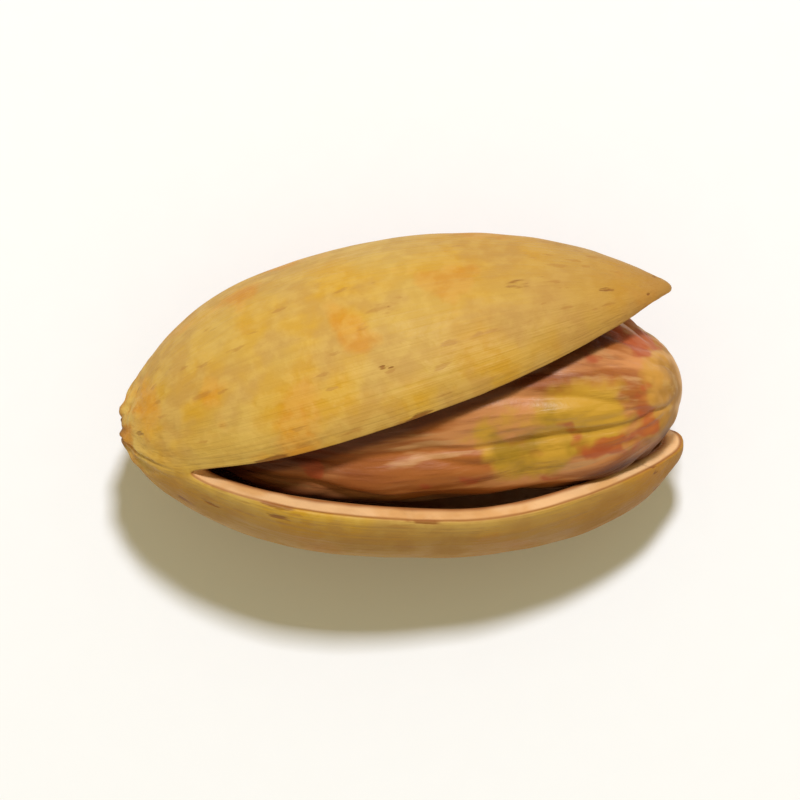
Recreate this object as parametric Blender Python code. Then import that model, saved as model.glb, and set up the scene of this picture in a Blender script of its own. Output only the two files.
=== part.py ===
"""A pistachio nut in its split shell, lying on one valve on a small flat spot.

Two solids: the shell, whose two valves have parted at the tip but are still grown together at the
stem end, and the kernel that lies loose between them. Metres, +Z up.

The nut is shaped in its own frame, and the empty rest_pose then lays it down:
    X runs from the stem end to the tip,
    Y runs across the seam plane, from one valve to the other,
    Z runs from the dorsal seam to the ventral seam, where the shell gapes widest.
"""

import math

import bmesh
import bpy
from mathutils import Matrix, Vector, noise

MM = 0.001

# The shell as it was before it split.
LENGTH = 20.0 * MM
WIDTH = 10.8 * MM  # from seam to seam
THICKNESS = 8.3 * MM  # from valve to valve
WALL = 0.8 * MM
SAG = 0.8 * MM  # both ends lie this far towards the ventral seam
STEM_END_SWELL = 0.15  # how much stouter the stem end is than an even egg
STEM_END_TAPER = 0.12  # how much the last of it draws in to the scar
UPPER_TIP_TAPER = 0.33  # how much leaner each valve is at the tip
LOWER_TIP_TAPER = 0.20
LOWER_TIP_BLUNTNESS = 0.15  # 0 is a round end; more makes it fuller
KEEL_SHARPNESS = 0.12  # 0 is a round section; more pinches it along both seams
BEAK_LENGTH = 0.5 * MM
BEAK_WIDTH = 0.22  # of the half width
SCAR_DEPTH = 0.1 * MM  # the dish where the stem was
SCAR_WIDTH = 0.15

# The split runs round the tip between these two points of the seam, given as shares of half the
# length from the middle, and each valve leans out about the line that joins them.
VENTRAL_SPLIT_START = -0.80
DORSAL_SPLIT_END = -0.20
GAPE_PER_VALVE = math.radians(15.5)
BEND_WIDTH = 6.0 * MM  # the length over which a valve's face takes up its lean
SPLIT_REACH = -0.2 * MM  # seam edges this far past the hinge line are still parted

# The lower valve's lip curls up round the kernel, from this share of half the length to the tip.
LIP_CURL = 1.0 * MM
LIP_CURL_START = 0.2
LIP_CURL_ACROSS = 0.6  # across the ball, from the lip to where the valve's face keeps its place
LIP_CURL_DORSAL = 0.5  # down the ball, from the tip to where the dorsal lip keeps its place

# The kernel.
KERNEL_LENGTH = 18.2 * MM
KERNEL_WIDTH = 8.6 * MM
KERNEL_THICKNESS = 6.7 * MM
KERNEL_PLACE = Vector((1.5, 0.1, 0.5)) * MM  # its middle, towards the tip and the ventral seam
KERNEL_TURN = math.radians(-1.5)  # its nose lies a little nearer the lower valve
KERNEL_BLUNTNESS = 0.06
KERNEL_SQUARENESS = 2.15  # 2 is a round section; more fills its corners
KERNEL_NOSE_SWELL = 0.18  # how much thicker it is at the nose, on the upper valve's side
KERNEL_NOSE_RISE = 0.1 * MM  # how far the nose is tipped up towards the ventral seam
KERNEL_WEDGE = 0.05  # it is thicker on its ventral side
KERNEL_LUMPS = 0.05
KERNEL_LUMP_SPACING = Vector((1.3, 1.9, 1.9))
GROOVE_DEPTH = 0.05  # of the half width, between the kernel's two halves
GROOVE_WIDTH = 0.16

# How the nut lies: rolled on to one valve, and sunk by the depth of the flat spot.
ROLL = math.radians(34.5)
FLAT_DEPTH = 0.16 * MM

# Squares along each side of the cube that is rounded into the shell or the kernel.
SHELL_GRID = 14
KERNEL_GRID = 10

SHELL_COLOUR = (0.62, 0.40, 0.12, 1.0)
KERNEL_COLOUR = (0.30, 0.12, 0.05, 1.0)


def clear_scene():
    for old in list(bpy.data.objects):
        bpy.data.objects.remove(old, do_unlink=True)


def matt_material(name, colour, roughness):
    material = bpy.data.materials.new(name)
    material.use_nodes = True
    shader = material.node_tree.nodes["Principled BSDF"]
    shader.inputs["Base Color"].default_value = colour
    shader.inputs["Roughness"].default_value = roughness
    shader.inputs["Metallic"].default_value = 0.0
    return material


def bell(distance, width):
    """1 at distance 0, falling smoothly to nearly 0 at twice the width."""
    return math.exp(-((distance / width) ** 2))


def round_ball(grid):
    """A bmesh ball of radius 1 made of squares only, with an edge loop in each coordinate plane."""
    ball = bmesh.new()
    bmesh.ops.create_cube(ball, size=2.0)
    bmesh.ops.subdivide_edges(ball, edges=ball.edges[:], cuts=grid - 1, use_grid_fill=True)
    for vert in ball.verts:
        vert.co = Vector(math.tan(c * math.pi / 4) for c in vert.co).normalized()
    return ball


def ease(value, start, end):
    """0 before start, 1 after end, and smooth between."""
    share = max(0.0, min(1.0, (value - start) / (end - start)))
    return share * share * (3 - 2 * share)


def shell_point(ball_point, side, inset):
    """The place on the unsplit shell of a point of the ball, inset from the outer surface.

    side is 1 on the upper valve and -1 on the lower one, which is fuller at the tip.
    """
    u, v, w = ball_point
    ring = math.hypot(v, w)
    tip_taper = LOWER_TIP_TAPER if side < 0 else UPPER_TIP_TAPER
    swell = (1 - STEM_END_SWELL * u) * (1 - tip_taper * max(u, 0.0) ** 3)
    swell *= 1 - STEM_END_TAPER * max(-u, 0.0) ** 4
    if side < 0 and u > 0 and ring > 1e-6:
        swell *= ring ** -LOWER_TIP_BLUNTNESS
    keel = (abs(v) / ring) ** KEEL_SHARPNESS if ring > 1e-6 else 1.0
    if u > 0:
        end = BEAK_LENGTH * bell(ring, BEAK_WIDTH)
    else:
        end = SCAR_DEPTH * bell(ring, SCAR_WIDTH)
    x = (LENGTH / 2 - inset) * u + end
    y = (THICKNESS / 2 - inset) * swell * v * keel
    z = (WIDTH / 2 - inset) * swell * w + SAG * u * u
    return Vector((x, y, z))


def seam_point(share, side):
    """The outer seam at this share of half the length. side is 1 for ventral and -1 for dorsal."""
    ring = math.sqrt(1 - share * share)
    return shell_point((share, 0.0, side * ring), 1, 0.0)


def hinge_distance(point):
    """How far a point lies towards the tip from the line about which the valves lean out."""
    start = seam_point(VENTRAL_SPLIT_START, 1)
    end = seam_point(DORSAL_SPLIT_END, -1)
    across = Vector((start.z - end.z, 0.0, end.x - start.x)).normalized()
    return (point - start).dot(across)


def lean_out(point, side):
    """Moves a valve's point outwards: a straight V along the seam, and a soft bend on the face."""
    reach = hinge_distance(point)
    softness = BEND_WIDTH * abs(point.y) / (THICKNESS / 2)
    lift = math.tan(GAPE_PER_VALVE) * (reach + math.hypot(reach, softness)) / 2
    return point + Vector((0.0, side * lift, 0.0))


def curl_lip(point, ball_point):
    """Moves the lower valve's lip back up towards the seam plane, most at the tip."""
    u, v, w = ball_point
    near_lip = max(1 - abs(v) / LIP_CURL_ACROSS, 0.0) * (1 - ease(-w, 0.0, LIP_CURL_DORSAL))
    return point + Vector((0.0, LIP_CURL * ease(u, LIP_CURL_START, 1.0) * near_lip, 0.0))


def side_of(vert):
    """1 or -1 for a point of one valve, 0 for a point on a seam that is still closed."""
    lean = sum(face.calc_center_median().y for face in vert.link_faces)
    return 0.0 if abs(lean) < 1e-9 else math.copysign(1.0, lean)


def split_skin(inset):
    """One skin of the shell: a ball shaped to the shell, parted along the split and gaping."""
    skin = round_ball(SHELL_GRID)
    seam = [edge for edge in skin.edges if all(abs(vert.co.y) < 1e-6 for vert in edge.verts)]
    parted = []
    for edge in seam:
        outer_ends = [shell_point(vert.co, 1, 0.0) for vert in edge.verts]
        if all(hinge_distance(end) > SPLIT_REACH for end in outer_ends):
            parted.append(edge)
    bmesh.ops.split_edges(skin, edges=parted)
    sides = [side_of(vert) for vert in skin.verts]
    for vert, side in zip(skin.verts, sides):
        ball_point = vert.co.copy()
        vert.co = lean_out(shell_point(ball_point, side, inset), side)
        if side < 0:
            vert.co = curl_lip(vert.co, ball_point)
    return skin


def object_from(name, form, material, parent):
    mesh = bpy.data.meshes.new(name)
    form.to_mesh(mesh)
    form.free()
    mesh.materials.append(material)
    mesh.shade_smooth()
    made = bpy.data.objects.new(name, mesh)
    bpy.context.scene.collection.objects.link(made)
    made.parent = parent
    return made


def make_shell(rest_pose):
    """The wall between an outer and an inner skin, closed along the rim of the split."""
    wall = split_skin(0.0)
    inner = split_skin(WALL)
    bmesh.ops.reverse_faces(inner, faces=inner.faces[:])
    inner_mesh = bpy.data.meshes.new("inner_skin")
    inner.to_mesh(inner_mesh)
    inner.free()
    wall.from_mesh(inner_mesh)
    bpy.data.meshes.remove(inner_mesh)
    rims = [edge for edge in wall.edges if edge.is_boundary]
    bmesh.ops.bridge_loops(wall, edges=rims)
    bmesh.ops.recalc_face_normals(wall, faces=wall.faces[:])
    return object_from("shell", wall, matt_material("shell", SHELL_COLOUR, 0.6), rest_pose)


def kernel_point(ball_point):
    """The kernel: a blunt seed with low lumps and a shallow groove where its two halves meet."""
    u, v, w = ball_point
    ring = math.hypot(v, w)
    spot = Vector(axis * spacing for axis, spacing in zip(ball_point, KERNEL_LUMP_SPACING))
    swell = 1 + KERNEL_LUMPS * noise.noise(spot) - GROOVE_DEPTH * bell(v, GROOVE_WIDTH)
    swell *= 1 + KERNEL_BLUNTNESS * u * u
    if ring > 1e-6:
        corners = abs(v) ** KERNEL_SQUARENESS + abs(w) ** KERNEL_SQUARENESS
        swell *= ring / corners ** (1 / KERNEL_SQUARENESS)
    upper_swell = 1 + KERNEL_NOSE_SWELL * ease(u, -0.2, 0.8) if v > 0 else 1.0
    x = KERNEL_LENGTH / 2 * u
    y = KERNEL_THICKNESS / 2 * swell * v * (1 + KERNEL_WEDGE * w) * upper_swell
    z = KERNEL_WIDTH / 2 * swell * w + SAG * u * u + KERNEL_NOSE_RISE * u
    return Matrix.Rotation(KERNEL_TURN, 3, "Z") @ Vector((x, y, z)) + KERNEL_PLACE


def make_kernel(rest_pose):
    seed = round_ball(KERNEL_GRID)
    for vert in seed.verts:
        vert.co = kernel_point(vert.co)
    return object_from("kernel", seed, matt_material("kernel", KERNEL_COLOUR, 0.55), rest_pose)


def lay_down(rest_pose, pieces):
    """Rolls the nut on to its side, centres it, and lowers it until the flat spot is at Z = 0."""
    rest_pose.rotation_euler = (ROLL, 0.0, 0.0)
    turn = Matrix.Rotation(ROLL, 3, "X")
    placed = [turn @ vert.co for piece in pieces for vert in piece.data.vertices]
    middle_x = (min(p.x for p in placed) + max(p.x for p in placed)) / 2
    middle_y = (min(p.y for p in placed) + max(p.y for p in placed)) / 2
    lowest = min(p.z for p in placed)
    rest_pose.location = (-middle_x, -middle_y, -lowest - FLAT_DEPTH)


def cut_flat_spot(shell):
    """Takes the underside of the shell off level with the ground."""
    side = 2 * LENGTH
    bpy.ops.mesh.primitive_cube_add(size=side, location=(0.0, 0.0, -side / 2))
    ground = bpy.context.object
    ground.name = "ground_cutter"
    ground.hide_render = True
    ground.display_type = "WIRE"
    cut = shell.modifiers.new("flat_spot", "BOOLEAN")
    cut.operation = "DIFFERENCE"
    cut.solver = "EXACT"
    cut.object = ground


def main():
    clear_scene()
    rest_pose = bpy.data.objects.new("rest_pose", None)
    bpy.context.scene.collection.objects.link(rest_pose)
    shell = make_shell(rest_pose)
    kernel = make_kernel(rest_pose)
    lay_down(rest_pose, (shell, kernel))
    cut_flat_spot(shell)


main()
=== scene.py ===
import math

import bpy
from mathutils import Matrix, Vector, kdtree, noise


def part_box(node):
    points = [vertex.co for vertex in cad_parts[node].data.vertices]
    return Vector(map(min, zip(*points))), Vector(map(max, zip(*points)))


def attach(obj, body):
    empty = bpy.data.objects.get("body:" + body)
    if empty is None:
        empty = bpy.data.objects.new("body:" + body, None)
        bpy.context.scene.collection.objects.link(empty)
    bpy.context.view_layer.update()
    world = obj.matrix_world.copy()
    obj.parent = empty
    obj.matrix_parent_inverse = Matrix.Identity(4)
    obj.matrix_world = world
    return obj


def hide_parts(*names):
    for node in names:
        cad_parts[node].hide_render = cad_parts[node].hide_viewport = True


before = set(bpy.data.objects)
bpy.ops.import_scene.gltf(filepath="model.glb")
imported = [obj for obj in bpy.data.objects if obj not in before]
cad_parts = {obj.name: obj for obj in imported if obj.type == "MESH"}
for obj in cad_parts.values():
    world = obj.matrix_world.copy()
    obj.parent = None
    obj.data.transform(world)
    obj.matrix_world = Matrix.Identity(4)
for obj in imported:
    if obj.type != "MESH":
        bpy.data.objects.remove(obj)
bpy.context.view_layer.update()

MM = 0.001


# ---------------------------------------------------------------------------------------------------
# The shell: two woody valves that grew as one stone round the seed, and split from the tip when it
# swelled. They are still one piece at the stem end. Both are drawn out of one ball whose lines run from
# the stem to the tip: it is parted along the seam, and each side is leaned out.
# ---------------------------------------------------------------------------------------------------

SHELL_LENGTH = 20.0 * MM
SHELL_WIDTH = 10.8 * MM  # from the dorsal seam to the ventral seam
SHELL_THICKNESS = 8.3 * MM
WALL = 0.8 * MM
SAG = 0.8 * MM  # both ends lie this far towards the ventral seam
STEM_END_SWELL = 0.15  # how much fuller the stem end is than the tip
STEM_END_TAPER = 0.12
UPPER_TIP_TAPER = 0.33
LOWER_TIP_TAPER = 0.20
LOWER_TIP_BLUNTNESS = 0.15
KEEL_SHARPNESS = 0.12  # how far the two valves meet in an edge at the seam
BEAK = 0.5 * MM  # the point at the tip
BEAK_WIDTH = 0.22
SCAR_RISE = 0.1 * MM  # the low boss at the stem end
SCAR_WIDTH = 0.15
GAPE_PER_VALVE = math.radians(15.5)
BEND = 6.0 * MM  # the length over which a valve's face takes up its lean
LIP_CURL = 1.0 * MM  # how far the lower valve's lip curls up round the seed at the tip
LIP_CURL_START = 0.2
LIP_CURL_ACROSS = 0.6
LIP_CURL_DORSAL = 0.5
SHELL_LINES = (56, 46)  # lines from stem to tip, and rings round the ball
RIM_CREASE = 0.15
RIM_CUTS = 3
ROLL = math.radians(34.5)  # the nut lies rolled on to one valve
FLAT_DEPTH = 0.16 * MM  # how much is worn off where it rests

SAND = (0.57, 0.35, 0.065, 1)
GOLD = (0.59, 0.315, 0.020, 1)
BISCUIT = (0.50, 0.29, 0.078, 1)
ORANGE_STAIN = (0.60, 0.235, 0.010, 1)
TIP_TAN = (0.38, 0.165, 0.03, 1)
# the brown of the painted shade on the lower side of the shell
SHADE_BROWN = (0.33, 0.132, 0.006, 1)
SPECK_BROWN = (0.25, 0.085, 0.010, 1)
STEM_BROWN = (0.13, 0.05, 0.015, 1)
STEM_YELLOW = (0.72, 0.49, 0.12, 1)
RIM_CREAM = (0.80, 0.48, 0.22, 1)
RIM_BROWN = (0.34, 0.12, 0.03, 1)
SHADED_LINING_TAN = (0.40, 0.20, 0.075, 1)


def clean_ball(name, meridians, rings):
    """A ball with its poles at the stem end and the tip, marked with how the nut grew along it.

    The mark is a place on a round rod: its section in X and Y, and 0 at the stem to 1 at the tip.
    """
    bpy.ops.object.select_all(action="DESELECT")
    bpy.ops.mesh.primitive_uv_sphere_add(
        segments=meridians, ring_count=rings, radius=1.0, rotation=(0.0, math.pi / 2, 0.0)
    )
    ball = bpy.context.object
    ball.name = name
    bpy.ops.object.transform_apply(location=False, rotation=True, scale=False)
    growth = ball.data.attributes.new("growth", "FLOAT_VECTOR", "POINT")
    for vert, mark in zip(ball.data.vertices, growth.data):
        u, v, w = vert.co
        ring = math.hypot(v, w)
        spread = math.tanh(2.5 * ring) / max(ring, 1e-6)
        mark.vector = (v * spread, w * spread, 1 - math.acos(max(-1.0, min(1.0, u))) / math.pi)
    return ball


def bell(distance, width):
    return math.exp(-((distance / width) ** 2))


def ease(value, start, end):
    """0 before start, 1 after end, and smooth between."""
    share = max(0.0, min(1.0, (value - start) / (end - start)))
    return share * share * (3 - 2 * share)


def unsplit_shell(ball_place, side, inset):
    """Where a place on the ball lies on the closed shell. side is 1 on the upper valve, -1 below."""
    u, v, w = ball_place
    ring = math.hypot(v, w)
    tip_taper = UPPER_TIP_TAPER if side > 0 else LOWER_TIP_TAPER
    swell = (1 - STEM_END_SWELL * u) * (1 - tip_taper * max(u, 0.0) ** 3)
    swell = swell * (1 - STEM_END_TAPER * max(-u, 0.0) ** 4)
    if side < 0 and u > 0 and ring > 1e-6:
        swell *= ring ** -LOWER_TIP_BLUNTNESS
    keel = (abs(v) / ring) ** KEEL_SHARPNESS if ring > 1e-6 else 1.0
    beak = BEAK * bell(ring, BEAK_WIDTH) if u > 0 else SCAR_RISE * bell(ring, SCAR_WIDTH)
    x = (SHELL_LENGTH / 2 - inset) * u + beak
    y = (SHELL_THICKNESS / 2 - inset) * swell * v * keel
    z = (SHELL_WIDTH / 2 - inset) * swell * w + SAG * u * u
    return Vector((x, y, z))


SPLIT_START = unsplit_shell((-0.80, 0.0, 0.60), 1, 0.0)  # on the ventral seam, near the stem
SPLIT_END = unsplit_shell((-0.20, 0.0, -0.98), 1, 0.0)  # on the dorsal seam, behind the middle
HINGE = (SPLIT_END - SPLIT_START).normalized()


def past_hinge(place):
    """How far a place lies towards the tip from the line about which the valves lean out."""
    return (place - SPLIT_START).dot(Vector((-HINGE.z, 0.0, HINGE.x)))


def split_shell(ball_place, side, inset):
    place = unsplit_shell(ball_place, side, inset)
    reach = past_hinge(place)
    softness = BEND * abs(place.y) / (SHELL_THICKNESS / 2)
    place.y += side * math.tan(GAPE_PER_VALVE) * (reach + math.hypot(reach, softness)) / 2
    if side < 0:
        u, v, w = ball_place
        near_lip = max(1 - abs(v) / LIP_CURL_ACROSS, 0.0) * (1 - ease(-w, 0.0, LIP_CURL_DORSAL))
        place.y += LIP_CURL * ease(u, LIP_CURL_START, 1.0) * near_lip
    return place


def shell_skin(name, inset, depth):
    """One face of the shell wall, parted along the seam and gaping. depth is 0 outside, 1 inside."""
    skin = clean_ball(name, *SHELL_LINES)
    mesh = skin.data
    bpy.ops.object.mode_set(mode="EDIT")
    bpy.ops.mesh.select_mode(type="EDGE")
    bpy.ops.mesh.select_all(action="DESELECT")
    bpy.ops.object.mode_set(mode="OBJECT")
    for edge in mesh.edges:
        ends = [mesh.vertices[i].co for i in edge.vertices]
        on_seam = all(abs(end.y) < 1e-5 for end in ends)
        is_split = all(past_hinge(unsplit_shell(end, 1, 0.0)) > -0.2 * MM for end in ends)
        edge.select = on_seam and is_split
    bpy.ops.object.mode_set(mode="EDIT")
    bpy.ops.mesh.edge_split(type="EDGE")
    bpy.ops.mesh.select_all(action="DESELECT")
    bpy.ops.object.mode_set(mode="OBJECT")

    leans = [0.0] * len(mesh.vertices)
    for face in mesh.polygons:
        for index in face.vertices:
            leans[index] += face.center.y
    for vert, lean in zip(mesh.vertices, leans):
        side = 0.0 if abs(lean) < 1e-5 else math.copysign(1.0, lean)
        vert.co = split_shell(vert.co, side, inset)
    marks = mesh.attributes.new("depth", "FLOAT", "POINT")
    for mark in marks.data:
        mark.value = depth
    return skin


nutshell = shell_skin("nutshell", 0.0, 0.0)
lining = shell_skin("lining", WALL, 1.0)
lining.data.flip_normals()
nutshell.select_set(True)
bpy.context.view_layer.objects.active = nutshell
bpy.ops.object.join()
bpy.ops.object.mode_set(mode="EDIT")
bpy.ops.mesh.select_all(action="DESELECT")
bpy.ops.mesh.select_non_manifold(extend=False)
bpy.ops.transform.edge_crease(value=RIM_CREASE)
bpy.ops.mesh.bridge_edge_loops(number_cuts=RIM_CUTS, interpolation="LINEAR")
bpy.ops.object.mode_set(mode="OBJECT")


def smooth_twice(piece):
    bpy.context.view_layer.objects.active = piece
    finer = piece.modifiers.new("finer", "SUBSURF")
    finer.levels = 2
    finer.render_levels = 2
    bpy.ops.object.modifier_apply(modifier=finer.name)
    piece.data.shade_smooth()


def carve(piece, relief):
    """Raises or lowers each place of a piece along its normal, by what relief says in metres."""
    mesh = piece.data
    normals = [normal.vector.copy() for normal in mesh.vertex_normals]
    marks = {layer.name: layer.data for layer in mesh.attributes if layer.name in ("growth", "depth")}
    for vert, normal in zip(mesh.vertices, normals):
        growth = marks["growth"][vert.index].vector
        depth = marks["depth"][vert.index].value if "depth" in marks else 0.0
        vert.co += normal * relief(vert.co, growth, depth)
    mesh.update()


def ridges(place):
    """1 along the crests of a noise and 0 in its open ground."""
    return 1 - abs(2 * noise.noise(place) + 0.1 * noise.noise(place * 3))


def shell_relief(place, growth, depth):
    """The relief of the shell in metres. Its numbers are heights in millimetres."""
    across, up, along = growth
    waves = 0.10 * noise.noise(Vector((across * 1.6, up * 1.6, along * 5)))
    dents = 0.035 * noise.noise(place * 700)
    ribs = 0.05 * noise.noise(Vector((across * 6, up * 6, along * 2.5))) * (1.2 - along)
    fibres = 0.010 * noise.noise(Vector((across * 16, up * 16, along * 5)))
    if depth > 0.9:
        return (0.5 * waves + 0.5 * ribs) * MM

    from_stem = math.hypot(place.y, place.z - SAG) / MM if place.x < -6 * MM else 9.0
    angle = math.atan2(place.z - SAG, place.y)
    collar = 0.13 * bell(from_stem - 0.62, 0.22) - 0.16 * bell(from_stem, 0.36)
    puckers = 0.05 * math.cos(9 * angle + 2 * noise.noise(place * 900)) * bell(from_stem - 1.1, 0.7)
    crinkle = 0.10 * (ridges(place * 1100) - 0.6) * bell(from_stem - 1.2, 1.3)

    closed = 1 - ease(past_hinge(place), -1.5 * MM, 0.0)
    seam = closed * (0.05 * bell(abs(across) - 0.09, 0.05) - 0.06 * bell(across, 0.035))
    at_rim = ease(depth, 0.0, 0.2)
    rim_waves = 0.06 * noise.noise(Vector((across, up * 2, along * 14)))
    rim = at_rim * (rim_waves + 0.03 * noise.noise(place * 1600))
    face = waves + dents + ribs + fibres + crinkle + seam
    return (face * (1 - 0.7 * at_rim) + collar + puckers + rim) * MM


smooth_twice(nutshell)
carve(nutshell, shell_relief)


def settle(piece, node, worn=0.0):
    """Rolls a piece as the nut lies, fits it to its CAD node, and wears it flat on the table."""
    piece.data.transform(Matrix.Rotation(ROLL, 4, "X"))
    places = [vert.co for vert in piece.data.vertices]
    own_low = Vector(min(place[i] for place in places) for i in range(3))
    own_high = Vector(max(place[i] for place in places) for i in range(3))
    low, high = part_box(node)
    low.z -= worn
    for vert in piece.data.vertices:
        for i in range(3):
            share = (vert.co[i] - own_low[i]) / (own_high[i] - own_low[i])
            vert.co[i] = low[i] + share * (high[i] - low[i])
        vert.co.z = max(vert.co.z, 0.0)
    piece.data.update()


settle(nutshell, "shell", FLAT_DEPTH)


def add_node(tree, kind, inputs=None, **settings):
    """Adds a shader node. An input is a plain value, or the socket that feeds it."""
    made = tree.nodes.new("ShaderNode" + kind)
    made.location.x = 190 * len(tree.nodes)
    for name, value in settings.items():
        setattr(made, name, value)
    for name, value in (inputs or {}).items():
        if isinstance(value, bpy.types.NodeSocket):
            tree.links.new(value, made.inputs[name])
        else:
            made.inputs[name].default_value = value
    return made


def combine(tree, operation, first, second):
    return add_node(tree, "Math", {0: first, 1: second}, operation=operation).outputs[0]


def mix(tree, share, first, second):
    """The colour between first and second, at share from 0 to 1."""
    return add_node(tree, "Mix", {0: share, 6: first, 7: second}, data_type="RGBA").outputs[2]


def between(tree, value, start, end):
    """A mask that rises smoothly from 0 at start to 1 at end."""
    inputs = {"Value": value, "From Min": start, "From Max": end}
    return add_node(tree, "MapRange", inputs, interpolation_type="SMOOTHSTEP").outputs[0]


def start_group(name, **inputs):
    """A shader node group that puts out one mask. An input is a vector where its start value is one."""
    group = bpy.data.node_groups.new(name, "ShaderNodeTree")
    for label, start in inputs.items():
        kind = "NodeSocketVector" if isinstance(start, tuple) else "NodeSocketFloat"
        socket = group.interface.new_socket(label, in_out="INPUT", socket_type=kind)
        socket.default_value = start
    group.interface.new_socket("Mask", in_out="OUTPUT", socket_type="NodeSocketFloat")
    return group, group.nodes.new("NodeGroupInput").outputs


def finish_group(group, mask):
    group.links.new(mask, group.nodes.new("NodeGroupOutput").inputs["Mask"])
    return group


def place_group(tree, group, **inputs):
    made = add_node(tree, "Group", node_tree=group)
    for label, value in inputs.items():
        if isinstance(value, bpy.types.NodeSocket):
            tree.links.new(value, made.inputs[label])
        else:
            made.inputs[label].default_value = value
    return made.outputs["Mask"]


mottle_group, ends = start_group("mottle", Place=(0.0, 0.0, 0.0), Scale=400.0, Start=0.4, End=0.6)
cloud = add_node(
    mottle_group, "TexNoise", {"Vector": ends["Place"], "Scale": ends["Scale"], "Detail": 3.0}
)
MOTTLE = finish_group(mottle_group, between(mottle_group, cloud.outputs[0], ends["Start"], ends["End"]))

fibre_group, ends = start_group(
    "fibres", Growth=(0.0, 0.0, 0.0), Across=9.0, Along=2.0, Start=0.4, End=0.6
)
stretch = add_node(fibre_group, "CombineXYZ", {0: ends["Across"], 1: ends["Across"], 2: ends["Along"]})
drawn_out = add_node(
    fibre_group, "VectorMath", {0: ends["Growth"], 1: stretch.outputs[0]}, operation="MULTIPLY"
)
strands = add_node(
    fibre_group, "TexNoise", {"Vector": drawn_out.outputs[0], "Scale": 1.0, "Detail": 4.0}
)
FIBRES = finish_group(fibre_group, between(fibre_group, strands.outputs[0], ends["Start"], ends["End"]))

speck_group, ends = start_group(
    "specks", Growth=(0.0, 0.0, 0.0), Across=4.0, Along=9.0, Size=0.35, Share=0.3
)
stretch = add_node(speck_group, "CombineXYZ", {0: ends["Across"], 1: ends["Across"], 2: ends["Along"]})
drawn_out = add_node(
    speck_group, "VectorMath", {0: ends["Growth"], 1: stretch.outputs[0]}, operation="MULTIPLY"
)
cells = add_node(speck_group, "TexVoronoi", {"Vector": drawn_out.outputs[0], "Scale": 1.0})
wobble = add_node(speck_group, "TexNoise", {"Vector": drawn_out.outputs[0], "Scale": 3.0, "Detail": 2.0})
lot = add_node(speck_group, "SeparateColor", {0: cells.outputs["Color"]})
chosen = combine(speck_group, "LESS_THAN", lot.outputs[0], ends["Share"])
size = combine(speck_group, "MULTIPLY", ends["Size"], combine(speck_group, "SQRT", lot.outputs[1], 0.5))
ragged = combine(speck_group, "MULTIPLY", wobble.outputs[0], 0.8)
ragged = combine(speck_group, "SUBTRACT", ragged, 0.4)
ragged = combine(speck_group, "ADD", cells.outputs["Distance"], ragged)
spot = between(speck_group, ragged, size, combine(speck_group, "MULTIPLY", size, 0.35))
SPECKS = finish_group(speck_group, combine(speck_group, "MULTIPLY", spot, chosen))


def start_material(name):
    material = bpy.data.materials.new(name)
    material.use_nodes = True
    return material, material.node_tree, material.node_tree.nodes["Principled BSDF"]


shell_finish, tree, wood = start_material("woody_shell")
place = add_node(tree, "TexCoord").outputs["Object"]
growth = add_node(tree, "Attribute", attribute_name="growth").outputs["Vector"]
depth = add_node(tree, "Attribute", attribute_name="depth").outputs["Fac"]
axes = add_node(tree, "SeparateXYZ", {0: growth}).outputs
across, along = axes["X"], axes["Z"]

height = add_node(tree, "SeparateXYZ", {0: place}).outputs["Z"]
broad = place_group(tree, MOTTLE, Place=place, Scale=200.0, Start=0.42, End=0.58)
blotches = place_group(tree, MOTTLE, Place=place, Scale=520.0, Start=0.44, End=0.62)
stains = place_group(tree, MOTTLE, Place=place, Scale=380.0, Start=0.56, End=0.66)
mealy = place_group(tree, MOTTLE, Place=place, Scale=1500.0, Start=0.40, End=0.64)
long_fibres = place_group(tree, FIBRES, Growth=growth, Across=6.0, Along=4.0, Start=0.40, End=0.72)
fine_fibres = place_group(tree, FIBRES, Growth=growth, Across=30.0, Along=4.0, Start=0.30, End=0.75)
specks = place_group(tree, SPECKS, Growth=growth, Across=6.0, Along=12.0, Size=0.34, Share=0.30)
freckles = place_group(tree, SPECKS, Growth=growth, Across=12.0, Along=24.0, Size=0.50, Share=0.30)

skin = mix(tree, broad, SAND, GOLD)
skin = mix(tree, combine(tree, "MULTIPLY", blotches, 0.65), skin, BISCUIT)
skin = mix(tree, combine(tree, "MULTIPLY", stains, 0.70), skin, ORANGE_STAIN)
skin = mix(tree, combine(tree, "MULTIPLY", long_fibres, 0.22), skin, BISCUIT)
skin = mix(tree, combine(tree, "MULTIPLY", mealy, 0.30), skin, STEM_YELLOW)
skin = mix(tree, combine(tree, "MULTIPLY", fine_fibres, 0.14), skin, TIP_TAN)
# darker tan towards the tip: partly the tip's own darker tone, partly painted shade on the tip side
skin = mix(tree, combine(tree, "MULTIPLY", between(tree, along, 0.42, 0.95), 0.62), skin, TIP_TAN)
# painted shade: the lower valve and the parts near the table are darkened to brown, where they face away
# from the lamp
below_seam = between(tree, across, 0.0, -0.30)
lower_valve = combine(tree, "MULTIPLY", below_seam, between(tree, along, 0.08, 0.22))
near_table = between(tree, height, 6.5 * MM, 2.0 * MM)
painted_shade_low = combine(tree, "MAXIMUM", combine(tree, "MULTIPLY", lower_valve, 0.6), near_table)
skin = mix(tree, combine(tree, "MULTIPLY", painted_shade_low, 0.85), skin, SHADE_BROWN)
skin = mix(tree, combine(tree, "MULTIPLY", freckles, 0.45), skin, TIP_TAN)
skin = mix(tree, combine(tree, "MULTIPLY", specks, 0.85), skin, SPECK_BROWN)

near_stem = between(tree, along, 0.17, 0.05)
crinkles = place_group(tree, MOTTLE, Place=place, Scale=1200.0, Start=0.42, End=0.58)
stem_end = mix(tree, crinkles, ORANGE_STAIN, STEM_YELLOW)
skin = mix(tree, combine(tree, "MULTIPLY", near_stem, 0.75), skin, stem_end)
scar_ring = between(tree, along, 0.07, 0.04)
skin = mix(tree, combine(tree, "MULTIPLY", scar_ring, 0.85), skin, TIP_TAN)
skin = mix(tree, between(tree, along, 0.048, 0.020), skin, STEM_BROWN)

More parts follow.
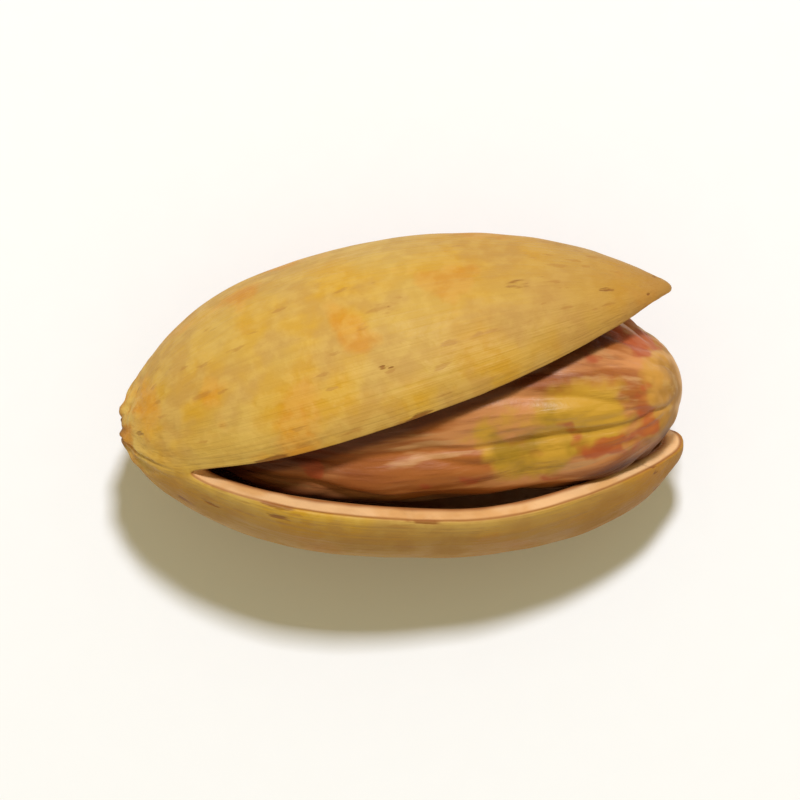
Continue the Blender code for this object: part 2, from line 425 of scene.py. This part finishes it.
skin = mix(tree, combine(tree, "MULTIPLY", between(tree, depth, 0.02, 0.12), 0.8), skin, RIM_BROWN)
rim = mix(tree, combine(tree, "MULTIPLY", blotches, 0.4), RIM_CREAM, ORANGE_STAIN)
rim = mix(tree, between(tree, depth, 0.60, 0.90), rim, RIM_BROWN)
skin = mix(tree, between(tree, depth, 0.12, 0.28), skin, rim)
# painted shade: the lining is a darker warm tan than the shell's own cream inside, in place of the shade
# in the gap round the kernel
inner = mix(tree, combine(tree, "MULTIPLY", blotches, 0.4), SHADED_LINING_TAN, RIM_BROWN)
skin = mix(tree, between(tree, depth, 0.88, 0.99), skin, inner)
tree.links.new(skin, wood.inputs["Base Color"])

gloss = add_node(tree, "MapRange", {"Value": blotches, "To Min": 0.50, "To Max": 0.66})
tree.links.new(gloss.outputs[0], wood.inputs["Roughness"])
wood.inputs["Specular IOR Level"].default_value = 0.2
grain = add_node(tree, "TexNoise", {"Vector": place, "Scale": 3200.0, "Detail": 4.0})
height = combine(tree, "ADD", combine(tree, "MULTIPLY", fine_fibres, 0.6), grain.outputs[0])
height = combine(tree, "ADD", height, combine(tree, "MULTIPLY", mealy, 0.5))
height = combine(tree, "SUBTRACT", height, specks)
bump = add_node(tree, "Bump", {"Height": height, "Distance": 0.03 * MM, "Strength": 0.7})
tree.links.new(bump.outputs[0], wood.inputs["Normal"])

nutshell.data.materials.clear()
nutshell.data.materials.append(shell_finish)
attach(nutshell, "root")
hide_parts("shell")


# ---------------------------------------------------------------------------------------------------
# The kernel: the seed, which lies loose between the valves with its blunt end at the tip. Its skin
# is thin and leathery. It dried and wrinkled lengthwise over two seed halves, whose parting shows as
# a shallow cleft, and it has rubbed off to the yellow-green flesh near the tip.
# ---------------------------------------------------------------------------------------------------

KERNEL_LENGTH = 18.2 * MM
KERNEL_WIDTH = 8.6 * MM
KERNEL_THICKNESS = 6.7 * MM
KERNEL_PLACE = Vector((1.5, 0.1, 0.5)) * MM
KERNEL_TURN = math.radians(-1.5)

KERNEL_LINES = (64, 52)
KERNEL_SQUARENESS = 2.5  # 2 is a round section
KERNEL_BLUNTNESS = 0.06
KERNEL_LUMPS = 0.05
GROOVE_DEPTH = 0.05
GROOVE_WIDTH = 0.16
UPPER_NOSE_SWELL = 0.18
LOWER_NOSE_SWELL = 0.17
LOWER_NOSE_BLUNTNESS = 0.27
KERNEL_WEDGE = 0.05
NOSE_RISE = 0.1 * MM
HUMP = 0.35 * MM  # how far the stem half rises towards the split
WALL_REACH = 0.3 * MM  # the kernel is pressed in where it comes this near to the wall

SKIN_ROSE = (0.62, 0.26, 0.085, 1)
SKIN_BROWN = (0.38, 0.115, 0.018, 1)
SKIN_PLUM = (0.19, 0.038, 0.008, 1)
SKIN_RED = (0.42, 0.06, 0.015, 1)
# the near black of the painted shadow under the lips
LIP_SHADOW_DARK = (0.085, 0.015, 0.004, 1)
SKIN_TAN = (0.58, 0.31, 0.12, 1)
FLESH_YELLOW = (0.58, 0.32, 0.025, 1)
FLESH_GREEN = (0.36, 0.205, 0.008, 1)

seed = clean_ball("seed", *KERNEL_LINES)
for vert in seed.data.vertices:
    u, v, w = vert.co
    ring = math.hypot(v, w)
    swell = 1 + KERNEL_LUMPS * noise.noise(Vector((u * 1.3, v * 1.9, w * 1.9)))
    swell -= GROOVE_DEPTH * bell(v, GROOVE_WIDTH)
    swell *= 1 + KERNEL_BLUNTNESS * u * u
    corners = (abs(v) ** KERNEL_SQUARENESS + abs(w) ** KERNEL_SQUARENESS) ** (1 / KERNEL_SQUARENESS)
    swell *= ring / max(corners, 1e-6)
    if v > 0:
        side_swell = 1 + UPPER_NOSE_SWELL * ease(u, -0.2, 0.8)
    else:
        side_swell = 1 + LOWER_NOSE_SWELL * ease(u, 0.0, 0.7)
        side_swell *= max(ring, 0.01) ** (-LOWER_NOSE_BLUNTNESS * ease(u, 0.2, 0.6))
    x = KERNEL_LENGTH / 2 * u
    y = KERNEL_THICKNESS / 2 * swell * v * (1 + KERNEL_WEDGE * w) * side_swell
    z = KERNEL_WIDTH / 2 * swell * w + SAG * u * u + NOSE_RISE * u
    z += HUMP * max(w, 0.0) * bell(u + 0.35, 0.4)
    vert.co = Matrix.Rotation(KERNEL_TURN, 3, "Z") @ Vector((x, y, z)) + KERNEL_PLACE


def seed_relief(place, growth, depth):
    """The relief of the kernel in metres. Its numbers are heights in millimetres."""
    across, up, along = growth
    lengthwise = ease(along, 0.02, 0.2) * (1 - ease(along, 0.80, 0.95))
    lumps = 0.20 * noise.noise(place * 330)
    knobs = 0.30 * (1 - lengthwise) * abs(noise.noise(place * 430))
    sway = Vector((0.25 * noise.noise(place * 300), 0.25 * noise.noise(place * 310), 0.0))
    folds = 0.42 * abs(noise.noise(Vector((across * 2.6, up * 2.6, along * 4.5)) + sway))
    wrinkles = 0.12 * abs(noise.noise(Vector((across * 6, up * 6, along * 11)) + sway))
    middle = across - 0.15 * noise.noise(Vector((0.0, 0.0, along * 5)))
    cleft = -0.14 * bell(middle, 0.07) * ease(up, 0.0, 0.6) * lengthwise
    return (lumps + knobs + (folds + wrinkles) * lengthwise + cleft) * MM


smooth_twice(seed)
carve(seed, seed_relief)
settle(seed, "kernel")

wall = nutshell.data
wall_finder = kdtree.KDTree(len(wall.vertices))
near_lip = kdtree.KDTree(len(wall.vertices))
under_lip = kdtree.KDTree(len(wall.vertices))
wall_marks = zip(wall.vertices, wall.attributes["depth"].data, wall.attributes["growth"].data)
for vert, depth, growth in wall_marks:
    wall_finder.insert(vert.co, vert.index)
    on_ventral_lip = 0.02 < depth.value < 0.6 and growth.vector.y > 0
    if on_ventral_lip:
        near_lip.insert(vert.co, vert.index)
        under_lip.insert((vert.co.x, vert.co.y, 0.0), vert.index)
wall_finder.balance()
near_lip.balance()
under_lip.balance()

wall_normals = [normal.vector.copy() for normal in wall.vertex_normals]
for vert in seed.data.vertices:
    wall_place, index, reach = wall_finder.find(vert.co)
    if reach < WALL_REACH:
        gap = (vert.co - wall_place).dot(wall_normals[index])
        vert.co += wall_normals[index] * max(0.14 * MM - 0.5 * gap, 0.0)
seed.data.update()

# painted shadow: the skin is darkened where a lip overhangs it, and a little where a lip lies close by,
# in place of the lips' cast shadow and the shade in the gap
lip_shadow = seed.data.attributes.new("lip_shadow", "FLOAT", "POINT")
for vert, growth, mark in zip(seed.data.vertices, seed.data.attributes["growth"].data, lip_shadow.data):
    beside = under_lip.find((vert.co.x, vert.co.y, 0.0))[2]
    covered = (1 - ease(beside, 0.25 * MM, 0.60 * MM)) * ease(growth.vector.y, 0.0, 0.3)
    close_by = 1 - ease(near_lip.find(vert.co)[2], 0.8 * MM, 2.0 * MM)
    mark.value = max(covered, 0.2 * close_by)

seed_finish, tree, coat = start_material("seed_skin")
place = add_node(tree, "TexCoord").outputs["Object"]
growth = add_node(tree, "Attribute", attribute_name="growth").outputs["Vector"]
axes = add_node(tree, "SeparateXYZ", {0: growth}).outputs
across, along = axes["X"], axes["Z"]

lip_shadow = add_node(tree, "Attribute", attribute_name="lip_shadow").outputs["Fac"]

cloudy = place_group(tree, MOTTLE, Place=place, Scale=520.0, Start=0.42, End=0.60)
drawn = place_group(tree, FIBRES, Growth=growth, Across=3.4, Along=4.5, Start=0.44, End=0.58)
fine_drawn = place_group(tree, FIBRES, Growth=growth, Across=10.0, Along=9.0, Start=0.45, End=0.70)
away_from_nose = between(tree, along, 0.92, 0.74)
streaks = mix(tree, away_from_nose, cloudy, drawn)
fine_streaks = combine(tree, "MULTIPLY", fine_drawn, away_from_nose)
skin = mix(tree, streaks, SKIN_ROSE, SKIN_BROWN)
skin = mix(tree, combine(tree, "MULTIPLY", between(tree, along, 0.52, 0.28), 0.55), skin, SKIN_PLUM)
skin = mix(tree, combine(tree, "MULTIPLY", fine_streaks, 0.45), skin, SKIN_PLUM)
pale = place_group(tree, FIBRES, Growth=growth, Across=5.0, Along=7.0, Start=0.56, End=0.66)
skin = mix(tree, combine(tree, "MULTIPLY", pale, 0.65), skin, SKIN_TAN)

wander = place_group(tree, MOTTLE, Place=place, Scale=480.0, Start=0.25, End=0.75)
from_patch = add_node(tree, "VectorMath", {0: growth, 1: (0.02, 0.95, 0.69)}, operation="SUBTRACT")
from_patch = add_node(
    tree, "VectorMath", {0: from_patch.outputs[0], 1: (2.2, 0.6, 8.0)}, operation="MULTIPLY"
)
from_patch = add_node(tree, "VectorMath", {0: from_patch.outputs[0]}, operation="LENGTH")
bare = between(tree, combine(tree, "ADD", from_patch.outputs["Value"], wander), 1.7, 1.2)
nose = combine(tree, "ADD", along, combine(tree, "MULTIPLY", wander, 0.12))
bare = combine(tree, "MAXIMUM", bare, combine(tree, "MULTIPLY", between(tree, nose, 0.86, 0.93), 0.6))
flesh = mix(tree, cloudy, FLESH_YELLOW, FLESH_GREEN)
skin = mix(tree, combine(tree, "MULTIPLY", bare, 0.9), skin, flesh)
bruise = place_group(tree, MOTTLE, Place=place, Scale=420.0, Start=0.60, End=0.66)
skin = mix(tree, combine(tree, "MULTIPLY", bruise, 0.7), skin, SKIN_RED)
# painted shadow of the lips on the skin
skin = mix(tree, combine(tree, "MULTIPLY", lip_shadow, 0.9), skin, LIP_SHADOW_DARK)
tree.links.new(skin, coat.inputs["Base Color"])

gloss = add_node(tree, "MapRange", {"Value": streaks, "To Min": 0.40, "To Max": 0.56})
tree.links.new(gloss.outputs[0], coat.inputs["Roughness"])
coat.inputs["Specular IOR Level"].default_value = 0.32
grain = add_node(tree, "TexNoise", {"Vector": place, "Scale": 2400.0, "Detail": 4.0})
height = combine(tree, "ADD", combine(tree, "MULTIPLY", fine_streaks, 0.6), grain.outputs[0])
bump = add_node(tree, "Bump", {"Height": height, "Distance": 0.05 * MM, "Strength": 0.6})
tree.links.new(bump.outputs[0], coat.inputs["Normal"])

seed.data.materials.clear()
seed.data.materials.append(seed_finish)
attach(seed, "root")
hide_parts("kernel")


# ---------------------------------------------------------------------------------------------------
# The table that the nut lies on: smooth white card, under one soft lamp and a warm, even room.
# It isn't part of the nut. The camera looks straight down on it through a long lens.
# ---------------------------------------------------------------------------------------------------

CARD_SIZE = 2.0
CARD_WHITE = (0.88, 0.88, 0.87, 1)
LAMP_PLACE = Vector((0.04, 0.20, 0.44))
LAMP_SIZE = 0.05
ROOM_WARMTH = (1.0, 0.90, 0.56, 1)
LAMP_COOLNESS = (0.95, 0.98, 1.10)
CAMERA_HEIGHT = 0.49
LENS = 600
CAMERA_TURN = math.radians(-5.3)  # the stem end lies a little lower than the tip
ROOM_STRENGTH = 0.45
LAMP_ENERGY = 1.93

bpy.ops.object.select_all(action="DESELECT")
bpy.ops.mesh.primitive_plane_add(size=CARD_SIZE)
table = bpy.context.object
table.name = "table"
card_finish, tree, card = start_material("white_card")
card.inputs["Base Color"].default_value = CARD_WHITE
place = add_node(tree, "TexCoord").outputs["Object"]
tooth = place_group(tree, MOTTLE, Place=place, Scale=900.0, Start=0.3, End=0.7)
gloss = add_node(tree, "MapRange", {"Value": tooth, "To Min": 0.70, "To Max": 0.85})
tree.links.new(gloss.outputs[0], card.inputs["Roughness"])
table.data.materials.append(card_finish)

room = bpy.data.worlds.new("room")
room.use_nodes = True
room.node_tree.nodes["Background"].inputs["Color"].default_value = ROOM_WARMTH
room.node_tree.nodes["Background"].inputs["Strength"].default_value = ROOM_STRENGTH
bpy.context.scene.world = room

lamp_light = bpy.data.lights.new("lamp", "AREA")
lamp_light.energy = LAMP_ENERGY
lamp_light.color = LAMP_COOLNESS
lamp_light.size = LAMP_SIZE
lamp = bpy.data.objects.new("lamp", lamp_light)
lamp.location = LAMP_PLACE
lamp.rotation_euler = (-LAMP_PLACE).to_track_quat("-Z", "Y").to_euler()
bpy.context.scene.collection.objects.link(lamp)

lens = bpy.data.cameras.new("camera")
lens.lens = LENS
camera = bpy.data.objects.new("camera", lens)
camera.location = (0.0, 0.0, CAMERA_HEIGHT)
camera.rotation_euler = (0.0, 0.0, CAMERA_TURN)
bpy.context.scene.collection.objects.link(camera)
bpy.context.scene.camera = camera
bpy.context.scene.view_settings.view_transform = "Standard"
